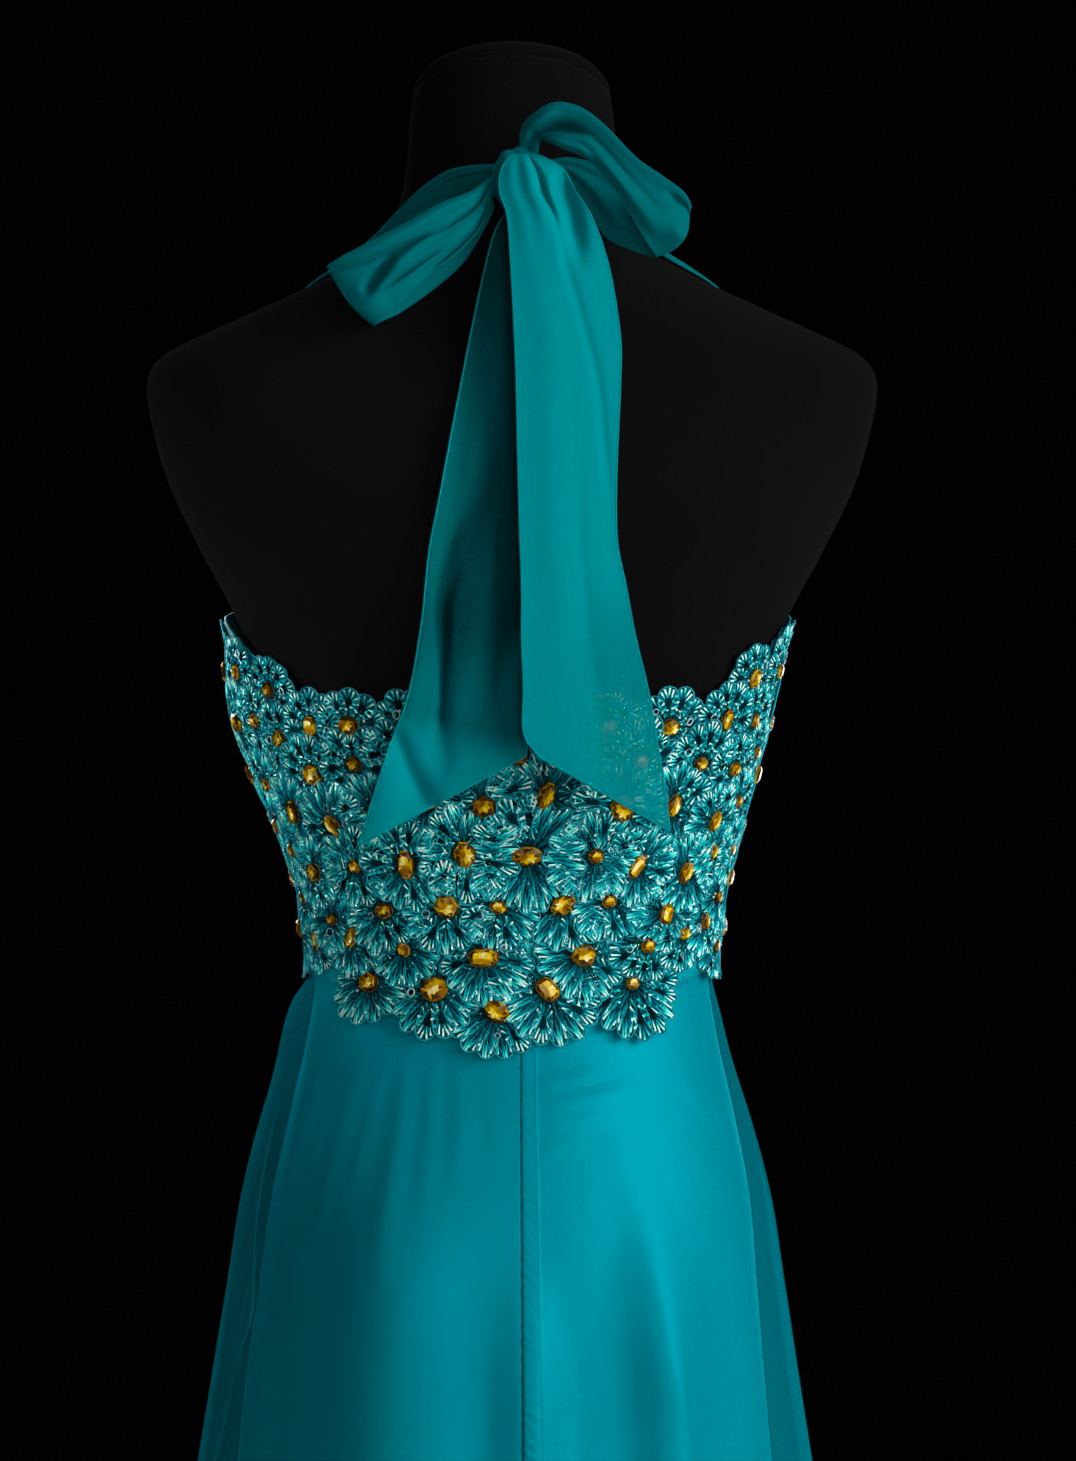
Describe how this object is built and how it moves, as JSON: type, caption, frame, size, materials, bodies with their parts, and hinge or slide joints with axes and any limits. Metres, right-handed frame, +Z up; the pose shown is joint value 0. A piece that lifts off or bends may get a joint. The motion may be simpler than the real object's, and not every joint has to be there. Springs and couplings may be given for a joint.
{
  "type": "halter maxi dress on dress form",
  "caption": "Floor-length halter dress with a beaded applique bodice, a chiffon overskirt over satin and a bow tied at the nape, worn by a limbless dress form on a pole and round base.",
  "frame": {"origin": "on the floor under the middle of the hem, on the axis of the pole", "axes": "+Z up, the back of the dress with the bow towards -Y, the front of the dress towards +Y"},
  "size_m": [0.5882, 0.5503, 1.5776],
  "materials": {
    "applique": "teal and mint embroidery with amber stones",
    "teal_satin": "satin sheen",
    "teal_chiffon": "sheer matt",
    "black_jersey": "matt knit",
    "dark_steel": "satin"
  },
  "bodies": {
    "root": {"bodice_back": "applique", "bodice_front": "applique", "skirt_back_left": "teal_satin", "skirt_back_right": "teal_satin", "skirt_front": "teal_satin", "overskirt_back_left": "teal_chiffon", "overskirt_back_right": "teal_chiffon", "overskirt_front": "teal_chiffon", "strap_left": "teal_chiffon", "strap_right": "teal_chiffon", "bow_knot": "teal_chiffon", "bow_loop_left": "teal_chiffon", "bow_loop_right": "teal_chiffon", "bow_tail_left": "teal_chiffon", "bow_tail_right": "teal_chiffon", "form_torso": "black_jersey", "form_neck_cap": "black_jersey", "form_pole": "dark_steel", "form_base": "dark_steel"}
  },
  "joints": []
}
